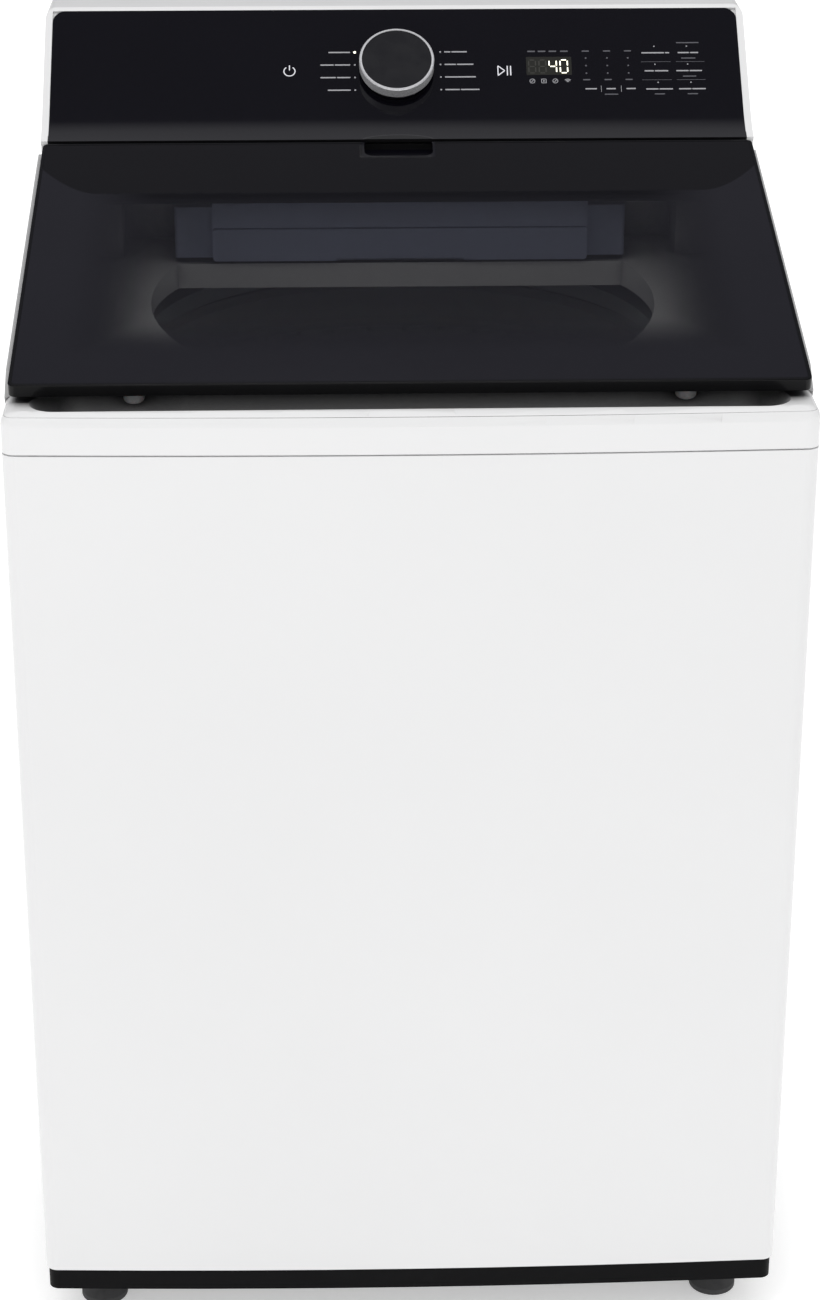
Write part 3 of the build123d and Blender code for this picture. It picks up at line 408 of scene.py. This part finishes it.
BY_SLOT = {
    "white_paint": WHITE, "white_plastic": WHITE_PLASTIC, "galvanised": ZINC,
    "black_plastic": PLASTIC_BLACK, "black_gloss": PIANO, "frame_steel": FRAME_BLACK,
    "glass": GLASS, "silver": SILVER, "dial_dark": DIAL_DARK,
    "steel": STEEL, "bright_steel": BRIGHT, "aluminium": CAST, "grey_plastic": GREY, "drawer_plastic": DRAWER,
    "tub_plastic": MILKY, "rubber": RUBBER, "clear_rubber": CLEAR, "board": BOARD, "copper_iron": WOUND,
    "magnet_steel": PRESSED,
}
LID_BLACK = gloss_black("lid_frame_black", (0.0020, 0.0020, 0.0024), 0.16, 0.22)
BY_NODE = {"console_housing": CONSOLE_WHITE, "dispenser_housing": DRAWER, "lid_frame": LID_BLACK}
for part in frame["record"]["subparts"]:
    obj = NODES[part["node"]]
    obj.data.materials.clear()
    obj.data.materials.append(BY_NODE.get(part["node"], BY_SLOT[part["material_slot"]]))


# ------------------------------------------------------------------ mesh helpers


def mesh_piece(name, verts, faces, material, body, smooth=False):
    """One mesh object that rides on a body."""
    mesh = bpy.data.meshes.new(name)
    mesh.from_pydata([tuple(v) for v in verts], [], faces)
    mesh.update()
    if smooth:
        mesh.polygons.foreach_set("use_smooth", [True] * len(mesh.polygons))
    mesh.materials.append(material)
    obj = bpy.data.objects.new(name, mesh)
    bpy.context.scene.collection.objects.link(obj)
    if body:
        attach(obj, body)
    return obj


class Sheet:
    """Collects flat outlines in a plane and turns them into thin raised marks."""

    def __init__(self, origin, u, v, n, lift):
        self.origin, self.u, self.v, self.n, self.lift = origin, u, v, n, lift
        self.verts, self.faces = [], []

    def point(self, x, y, h):
        return self.origin + self.u * x + self.v * y + self.n * h

    def outline(self, points):
        """A filled convex outline, raised by the lift, with its side walls."""
        base = len(self.verts)
        count = len(points)
        for height in (0.0, self.lift):
            self.verts += [self.point(x, y, height) for x, y in points]
        self.faces.append(tuple(base + count + i for i in range(count)))
        for i in range(count):
            j = (i + 1) % count
            self.faces.append((base + i, base + j, base + count + j, base + count + i))

    def bar(self, x0, x1, y0, y1):
        """A rectangle with its corners cut a little."""
        r = min(x1 - x0, y1 - y0, 0.002) * 0.25
        low = [(x0 + r, y0), (x1 - r, y0), (x1, y0 + r), (x1, y1 - r)]
        high = [(x1 - r, y1), (x0 + r, y1), (x0, y1 - r), (x0, y0 + r)]
        self.outline(low + high)

    def dot(self, x, y, r, steps=14):
        angles = [2 * math.pi * i / steps for i in range(steps)]
        self.outline([(x + r * math.cos(a), y + r * math.sin(a)) for a in angles])

    def arc(self, x, y, r, width, start, end, steps=18):
        """A ring's stretch from one angle to another, in degrees."""
        inner, outer = r - width / 2, r + width / 2
        for i in range(steps):
            a = math.radians(start + (end - start) * i / steps)
            b = math.radians(start + (end - start) * (i + 1) / steps)
            ring = ((inner, a), (outer, a), (outer, b), (inner, b))
            self.outline([(x + radius * math.cos(t), y + radius * math.sin(t)) for radius, t in ring])

    def segment(self, x0, y0, x1, y1, width):
        """A straight stroke between two points."""
        a, b = Vector((x0, y0)), Vector((x1, y1))
        along = (b - a).normalized()
        side = Vector((-along.y, along.x)) * width / 2
        self.outline([tuple(a - side), tuple(b - side), tuple(b + side), tuple(a + side)])

    def words(self, x, y, lengths, height, align="left"):
        """A row of short bars, the generic stand-in for a legend."""
        gap = height * 0.7
        total = sum(lengths) + gap * (len(lengths) - 1)
        cursor = x - total * {"left": 0.0, "middle": 0.5, "right": 1.0}[align]
        for length in lengths:
            self.bar(cursor, cursor + length, y - height / 2, y + height / 2)
            cursor += length + gap

    def build(self, name, material, body, slot):
        return mesh_piece(name, self.verts, self.faces, material, body)


# ------------------------------------------------------------------ marks on the console's flat face

# Places are metres across and up the face from the dial's centre.
PRINT_GAP = 0.00002
TEXT = 0.0014
ROW_TOP, ROW_STEP = 0.0216, 0.01465
LEFT_LEGENDS, LEFT_DOTS = -0.0445, -0.0401
RIGHT_LEGENDS, RIGHT_DOTS = 0.0467, 0.0428
SETTINGS_X, SETTINGS_STEP = 0.2068, 0.0193
KEYS_X, KEYS_STEP = 0.2517, 0.0318
KEY_ROWS = (0.0192, -0.0019, -0.0230)
LAST_KEY_SHIFT = 0.0019
CAPTION_Y, NOTE_Y = -0.0224, -0.0288


def face_sheet(lift=0.00012, gap=PRINT_GAP):
    """Marks on the console's flat face: x across, y up the face, from the dial's centre."""
    return Sheet(DIAL_CENTRE + FACE_N * gap, ACROSS, FACE_U, FACE_N, lift)


# Power symbol, and start or pause symbol.
symbols = face_sheet()
POWER_X, POWER_Y = -0.1033, -0.0001
STROKE = 0.0010
symbols.arc(POWER_X, POWER_Y, 0.0054, STROKE, -235, 55)
symbols.bar(POWER_X - STROKE / 2, POWER_X + STROKE / 2, POWER_Y + 0.0010, POWER_Y + 0.0070)
START_X, START_Y = 0.1017, -0.0007
START_HALF = 0.0056
corner_points = ((-0.0035, -START_HALF), (-0.0035, START_HALF), (0.0030, 0))
for i, (ax, ay) in enumerate(corner_points):
    bx, by = corner_points[(i + 1) % 3]
    symbols.segment(START_X + ax, START_Y + ay, START_X + bx, START_Y + by, STROKE)
for offset in (0.0050, 0.0082):
    x = START_X + offset
    symbols.bar(x, x + 0.0011, START_Y - START_HALF, START_Y + START_HALF)
symbols.build("console_symbols", BRIGHT_MARK, "cabinet", "black_gloss")

# Programme legends beside the dial. The left dot of the top row is lit, with the display.
marks = face_sheet()
left_words = ((0.021,), (0.013, 0.015), (0.015, 0.013), (0.022,))
right_words = ((0.006, 0.015), (0.011, 0.016), (0.030,), (0.014, 0.018))
for index, (left, right) in enumerate(zip(left_words, right_words)):
    y = ROW_TOP - index * ROW_STEP
    marks.words(LEFT_LEGENDS, y, left, TEXT, "right")
    marks.words(RIGHT_LEGENDS, y, right, TEXT, "left")
    marks.dot(RIGHT_DOTS, y, 0.0009)
    if index:
        marks.dot(LEFT_DOTS, y, 0.0009)
# Captions of the setting columns, with a thin divider between them.
for column, length in ((-1, 0.011), (0, 0.009), (1, 0.009)):
    marks.words(SETTINGS_X + column * SETTINGS_STEP, CAPTION_Y, (length,), TEXT, "middle")
for half in (-0.5, 0.5):
    x = SETTINGS_X + half * SETTINGS_STEP
    marks.bar(x, x + 0.0004, CAPTION_Y - 0.0035, CAPTION_Y + 0.0035)
# Captions of the option keys, two in each of three rows.
key_words = (
    ((0.022, 0.004), (0.011, 0.008)),
    ((0.009, 0.013), (0.012, 0.012)),
    ((0.012, 0.013), (0.012, 0.013)),
)
for y, pair in zip(KEY_ROWS, key_words):
    shift = LAST_KEY_SHIFT if y == KEY_ROWS[-1] else 0.0
    for column, lengths in enumerate(pair):
        x = KEYS_X + shift + column * KEYS_STEP
        marks.words(x, y, lengths, TEXT, "middle")
        marks.dot(x - 0.0010, y + 0.0076, 0.0007)
marks.build("console_legends", MARK, "cabinet", "black_gloss")

# Fainter marks: setting levels, second lines of the keys, key dividers, headings of the display.
dim = face_sheet()
for x in (0.1837, 0.2044, 0.2247):
    for y in (0.0134, 0.0046, -0.0042):
        dim.dot(x, y, 0.0009)
    for y in (ROW_TOP, -0.0118):
        dim.words(x, y, (0.007,), TEXT, "middle")
for y, length in ((0.0309, 0.022), (0.0128, 0.014), (-0.0083, 0.013)):
    dim.words(KEYS_X + KEYS_STEP, y, (length,), 0.0012, "middle")
for x, length in ((0.2536, 0.010), (0.2854, 0.010), (SETTINGS_X, 0.013)):
    dim.words(x, NOTE_Y, (length,), 0.0012, "middle")
for y in (0.0087, -0.0124):
    dim.bar(0.2372, 0.2661, y - 0.0002, y + 0.0002)
    dim.bar(0.2710, 0.2989, y - 0.0002, y + 0.0002)
for x in (0.1311, 0.1412, 0.1518, 0.1629):
    dim.words(x, ROW_TOP, (0.0075,), 0.0016, "middle")
dim.build("console_small_legends", MARK_DIM, "cabinet", "black_gloss")

# Display: dim window, two unlit and two lit digits, and four small status symbols.
window = face_sheet(0.00008)
window.bar(0.1258, 0.1697, -0.0060, 0.0151)
window.build("display_window", SHADE, "cabinet", "black_gloss")

SEGMENTS = {"4": "fgbc", "0": "abcdef", "8": "abcdefg"}
DIGIT_Y, DIGIT_HEIGHT = -0.0036, 0.0150
DIGIT_GAP = 0.00011


def digit(sheet, x, w, value):
    """Seven-segment figure with its lower left corner at x on the display's line."""
    y, h = DIGIT_Y, DIGIT_HEIGHT
    t = w * 0.16
    places = {
        "a": (x + t, y + h, x + w - t, y + h),
        "b": (x + w, y + h / 2 + t, x + w, y + h - t),
        "c": (x + w, y + t, x + w, y + h / 2 - t),
        "d": (x + t, y, x + w - t, y),
        "e": (x, y + t, x, y + h / 2 - t),
        "f": (x, y + h / 2 + t, x, y + h - t),
        "g": (x + t, y + h / 2, x + w - t, y + h / 2),
    }
    for name in SEGMENTS[value]:
        sheet.segment(*places[name], t)


lit = face_sheet(0.00010, DIGIT_GAP)
for index, figure in enumerate("40"):
    digit(lit, 0.1480 + index * 0.0107, 0.0070, figure)
unlit = face_sheet(0.00006, DIGIT_GAP)
for index in (0, 1):
    digit(unlit, 0.1282 + index * 0.0100, 0.0066, "8")
unlit.build("display_blank_digits", UNLIT, "cabinet", "black_gloss")
lit.dot(LEFT_DOTS, ROW_TOP, 0.0013)
lit.build("display_digits", LIT, "cabinet", "black_gloss")

icons = face_sheet()
ICON_Y = -0.0130
BOX_HALF = 0.0022
for x, kind in ((0.1311, "ring"), (0.1422, "box"), (0.1533, "ring"), (0.1653, "waves")):
    if kind == "ring":
        icons.arc(x, ICON_Y, 0.0024, 0.0006, 0, 360)
        icons.segment(x - 0.001, ICON_Y - 0.001, x + 0.0012, ICON_Y + 0.0012, 0.0007)
    elif kind == "box":
        left, right, low, high = x - BOX_HALF, x + BOX_HALF, ICON_Y - BOX_HALF, ICON_Y + BOX_HALF
        icons.segment(left, low, right, low, 0.0006)
        icons.segment(right, low, right, high, 0.0006)
        icons.segment(right, high, left, high, 0.0006)
        icons.segment(left, high, left, low, 0.0006)
        icons.dot(x, ICON_Y, 0.0008)
    else:
        for r in (0.0012, 0.0026, 0.0040):
            icons.arc(x, ICON_Y - 0.002, r, 0.0007, 45, 135, 8)
icons.build("status_symbols", MARK, "cabinet", "black_gloss")

# ------------------------------------------------------------------ painted finger scoop on the console's foot

# The foot of the console face is a concave bend, tangent to the flat face at its upper end.
BEND_R = 0.1196
BEND_TOP_Y, BEND_TOP_Z = 0.1325, 1.0482
BEND_Y = BEND_TOP_Y - math.sin(FACE_SLOPE) * BEND_R
BEND_Z = BEND_TOP_Z + math.cos(FACE_SLOPE) * BEND_R
LIP_ANGLE = math.radians(24.2)
LENS_COLUMNS, LENS_ROWS = 32, 6


def foot_point(x, rise, proud):
    """Point on the console's curved foot, rise along the curve from its lip."""
    a = LIP_ANGLE + rise / BEND_R
    r = BEND_R - proud
    return (x, BEND_Y + r * math.sin(a), BEND_Z - r * math.cos(a))


def foot_lens(name, half, height, proud, material):
    """Lens outline lying on the console's foot, flat along the lip."""
    inset = 0.0002
    verts, faces = [], []
    for i in range(LENS_COLUMNS + 1):
        t = -1 + 2 * i / LENS_COLUMNS
        top = max(height * (1 - t * t) ** 0.6, inset)
        for k in range(LENS_ROWS + 1):
            verts.append(foot_point(t * half, inset + (top - inset) * k / LENS_ROWS, proud))
    row = LENS_ROWS + 1
    for i in range(LENS_COLUMNS):
        for k in range(LENS_ROWS):
            faces.append((i * row + k, (i + 1) * row + k, (i + 1) * row + k + 1, i * row + k + 1))
    return mesh_piece(name, verts, faces, material, "cabinet", smooth=True)


# No hollow is cut: two flat lenses lie on the foot, a dark grey one along the rim and inside it a near-black
# one, painted shade standing in for the scoop's hollow.
SCOOP_EDGE = gloss_black("scoop_edge_black", (0.020, 0.020, 0.022), 0.12)
SCOOP_SHADE = gloss_black("scoop_shade_black", (0.0006, 0.0006, 0.0008), 0.10)
foot_lens("scoop_edge", 0.0345, 0.0068, 0.00008, SCOOP_EDGE)
foot_lens("scoop_hollow_shade", 0.0325, 0.0057, 0.00016, SCOOP_SHADE)

# ------------------------------------------------------------------ basket wall with its drain holes


def wash_point(radius, angle, z):
    """Point at a radius and angle round the wash axis."""
    return (radius * math.cos(angle), WASH_Y + radius * math.sin(angle), z)


def perforated_drum(name, radius, z0, z1, columns, rows, hole, material):
    """Cylinder wall of cells, plain and pierced by turns, each eight-sided hole flanged outward."""
    verts, faces = [], []
    cell_w = 2 * math.pi / columns
    cell_h = (z1 - z0) / rows
    hole_a = hole / radius
    border = ((-1, -1), (0, -1), (1, -1), (1, 0), (1, 1), (0, 1), (-1, 1), (-1, 0))
    for row in range(rows):
        for col in range(columns):
            ca, cz = (col + 0.5) * cell_w, z0 + (row + 0.5) * cell_h
            base = len(verts)
            for dx, dz in border:
                verts.append(wash_point(radius, ca + dx * cell_w / 2, cz + dz * cell_h / 2))
            if (row + col) % 2:
                verts.append(wash_point(radius, ca, cz))
                for k in range(8):
                    faces.append((base + k, base + (k + 1) % 8, base + 8))
                continue
            for widen, proud in ((1.7, 0.0), (1.0, 0.0009)):
                for k in range(8):
                    t = math.radians(225 + 45 * k)
                    angle = ca + hole_a * widen * math.cos(t)
                    verts.append(wash_point(radius + proud, angle, cz + hole * widen * math.sin(t)))
            for k in range(8):
                j = (k + 1) % 8
                faces.append((base + k, base + j, base + 8 + j, base + 8 + k))
                faces.append((base + 8 + k, base + 8 + j, base + 16 + j, base + 16 + k))
    obj = mesh_piece(name, verts, faces, material, None, smooth=True)
    bm = bmesh.new()
    bm.from_mesh(obj.data)
    bmesh.ops.remove_doubles(bm, verts=bm.verts, dist=0.00002)
    bm.to_mesh(obj.data)
    bm.free()
    return obj


def turned(name, profile, steps, material, body):
    """Surface turned round the wash axis from (radius, z) points in metres."""
    verts, faces = [], []
    for i in range(steps):
        angle = 2 * math.pi * i / steps
        verts += [wash_point(r, angle, z) for r, z in profile]
    count = len(profile)
    for i in range(steps):
        j = (i + 1) % steps
        for k in range(count - 1):
            faces.append((i * count + k, j * count + k, j * count + k + 1, i * count + k + 1))
    return mesh_piece(name, verts, faces, material, body, smooth=True)


DRUM_R = BASKET_HIGH.x - 0.0006
DRUM_COLUMNS, DRUM_ROWS = 96, 28
HOLE_R = 0.0022
drum_low = BASKET_LOW.z + 0.0280
drum_high = BASKET_HIGH.z - 0.0500
drum = perforated_drum(
    "basket_wall", DRUM_R, drum_low, drum_high, DRUM_COLUMNS, DRUM_ROWS, HOLE_R, STEEL
)
solid = drum.modifiers.new("thickness", "SOLIDIFY")
solid.thickness = 0.0008
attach(drum, "basket")

# The floor runs flat from the hub's hole and turns up into the wall. The rim rolls over at the top.
floor_profile = [
    (0.0345, BASKET_LOW.z + 0.0002),
    (0.090, BASKET_LOW.z + 0.0002),
    (0.200, BASKET_LOW.z + 0.0006),
    (0.246, BASKET_LOW.z + 0.0010),
    (0.262, BASKET_LOW.z + 0.0025),
    (0.272, BASKET_LOW.z + 0.0070),
    (0.279, BASKET_LOW.z + 0.0150),
    (DRUM_R, drum_low),
]
rim_profile = [
    (DRUM_R, drum_high),
    (DRUM_R, drum_high + 0.0140),
    (DRUM_R + 0.0002, BASKET_HIGH.z - 0.0030),
    (DRUM_R - 0.0002, BASKET_HIGH.z),
    (DRUM_R - 0.0012, BASKET_HIGH.z + 0.0008),
]
turned("basket_floor", floor_profile, DRUM_COLUMNS, STEEL, "basket")
turned("basket_rim", rim_profile, DRUM_COLUMNS, STEEL, "basket")
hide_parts("wash_basket")

# ------------------------------------------------------------------ suspension springs


def wire(name, path, radius, sides, material):
    """Round wire through a list of points, closed at both ends."""
    verts, faces = [], []
    up = Vector((0, 0, 1))
    last = len(path) - 1
    for i, p in enumerate(path):
        along = (path[min(i + 1, last)] - path[max(i - 1, 0)]).normalized()
        side = along.cross(up).normalized()
        other = along.cross(side)
        for k in range(sides):
            w = 2 * math.pi * k / sides
            verts.append(p + side * (radius * math.cos(w)) + other * (radius * math.sin(w)))
    for i in range(last):
        for k in range(sides):
            j = (k + 1) % sides
            faces.append((i * sides + k, i * sides + j, (i + 1) * sides + j, (i + 1) * sides + k))
    faces.append(tuple(range(sides)))
    faces.append(tuple(last * sides + k for k in range(sides)))
    return mesh_piece(name, verts, faces, material, None, smooth=True)


SPRING_LOW, SPRING_HIGH = corners("suspension_springs")
ROD_OFFSET = SPRING_HIGH.x - 0.0150
COIL_R, WIRE_R = 0.0128, 0.0019
COIL_TURNS, TURN_STEPS = 9, 18
CLOSED_END = 0.05
coil_low = SPRING_LOW.z + 0.0020
coil_high = SPRING_HIGH.z - 0.0020


def coil_path(cx, cy):
    """Helix with a short closed stretch at each end."""
    path = []
    for i in range(COIL_TURNS * TURN_STEPS + 1):
        f = i / (COIL_TURNS * TURN_STEPS)
        a = 2 * math.pi * COIL_TURNS * f
        risen = min(max((f - CLOSED_END) / (1 - 2 * CLOSED_END), 0), 1)
        z = coil_low + (coil_high - coil_low) * risen
        path.append(Vector((cx + COIL_R * math.cos(a), cy + COIL_R * math.sin(a), z)))
    return path


for index, (sx, sy) in enumerate(((-1, -1), (1, -1), (-1, 1), (1, 1))):
    cx, cy = sx * ROD_OFFSET, WASH_Y + sy * ROD_OFFSET
    coil = wire(f"suspension_coil_{index}", coil_path(cx, cy), WIRE_R, 8, BRIGHT)
    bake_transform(coil)
    if index == 0:
        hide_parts("suspension_springs")

# ------------------------------------------------------------------ floor, light, camera

FLOOR_HALF = 30
floor_mesh = bpy.data.meshes.new("floor")
floor_corners = [(sx * FLOOR_HALF, sy * FLOOR_HALF, 0) for sx, sy in ((-1, -1), (1, -1), (1, 1), (-1, 1))]
floor_mesh.from_pydata(floor_corners, [], [(0, 1, 2, 3)])
floor_obj = bpy.data.objects.new("floor", floor_mesh)
bpy.context.scene.collection.objects.link(floor_obj)
ground = Nodes("floor_pale")
ground.colour(ground.ramp(ground.noise(0.8, 3.0, 0.5), (0.3, (0.90, 0.90, 0.90)), (0.7, (0.93, 0.93, 0.93))))
ground.bsdf.inputs["Emission Color"].default_value = (1, 1, 1, 1)
ground.put(rough=0.9, spec=0.1, emit=0.36)
floor_mesh.materials.append(ground.mat)


def studio_world(name):
    """Even soft light, while reflections see a dim room with one bright band high at the back."""
    world = bpy.data.worlds.new(name)
    world.use_nodes = True
    nodes, links = world.node_tree.nodes, world.node_tree.links
    nodes.clear()
    out = nodes.new("ShaderNodeOutputWorld")
    soft = nodes.new("ShaderNodeBackground")
    soft.inputs[0].default_value = (1.0, 1.0, 1.0, 1)
    soft.inputs[1].default_value = 0.95
    seen = nodes.new("ShaderNodeBackground")
    seen.inputs[1].default_value = 1.0
    light_path = nodes.new("ShaderNodeLightPath")
    blend = nodes.new("ShaderNodeMixShader")
    place = nodes.new("ShaderNodeTexCoord")
    band = nodes.new("ShaderNodeVectorMath")
    band.operation = "DOT_PRODUCT"
    band_height = math.radians(66)
    band.inputs[1].default_value = (0.0, math.cos(band_height), math.sin(band_height))
    ramp = nodes.new("ShaderNodeValToRGB")
    stops = ramp.color_ramp.elements
    stops[0].position, stops[0].color = 0.0, (0.20, 0.20, 0.22, 1)
    stops[1].position, stops[1].color = 0.930, (0.15, 0.15, 0.175, 1)
    stops.new(0.985).color = (0.70, 0.70, 0.74, 1)
    links.new(place.outputs["Generated"], band.inputs[0])
    links.new(band.outputs["Value"], ramp.inputs[0])
    links.new(ramp.outputs[0], seen.inputs[0])
    links.new(light_path.outputs["Is Glossy Ray"], blend.inputs[0])
    links.new(soft.outputs[0], blend.inputs[1])
    links.new(seen.outputs[0], blend.inputs[2])
    links.new(blend.outputs[0], out.inputs[0])
    return world


def area_light(name, place, aim, size, power):
    """Rectangular lamp of the given width and depth, turned towards its aim."""
    data = bpy.data.lights.new(name, "AREA")
    data.shape = "RECTANGLE"
    data.size, data.size_y = size
    data.energy = power
    obj = bpy.data.objects.new(name, data)
    obj.location = place
    obj.rotation_euler = (Vector(aim) - Vector(place)).to_track_quat("-Z", "Y").to_euler()
    bpy.context.scene.collection.objects.link(obj)


bpy.context.scene.world = studio_world("studio")
area_light("key", (-1.4, -1.8, 3.6), (0, 0, 0.6), (2.4, 2.4), 10)
area_light("inside", (0, -0.9, 2.6), (0, -0.05, 0.9), (0.9, 0.5), 5)

# The camera looks down at the front, turned slightly, so that the console shows left of the middle.
CAMERA_DISTANCE, CAMERA_HEIGHT = 2.7475, 1.727
CAMERA_TURN = math.radians(1.5)
CAMERA_DOWN = math.radians(23.34)
camera_data = bpy.data.cameras.new("camera")
camera = bpy.data.objects.new("camera", camera_data)
bpy.context.scene.collection.objects.link(camera)
camera_data.sensor_width = 36.0
camera_data.lens = 84.0462
camera_data.shift_x = 0.0085
camera_data.clip_end = 100.0
camera_x = -CAMERA_DISTANCE * math.sin(CAMERA_TURN)
camera_y = -CAMERA_DISTANCE * math.cos(CAMERA_TURN)
camera.location = (camera_x, camera_y, CAMERA_HEIGHT)
camera.rotation_euler = (math.pi / 2 - CAMERA_DOWN, 0, -CAMERA_TURN)
bpy.context.scene.camera = camera
bpy.context.scene.view_settings.view_transform = "Standard"
bpy.context.scene.view_settings.look = "None"
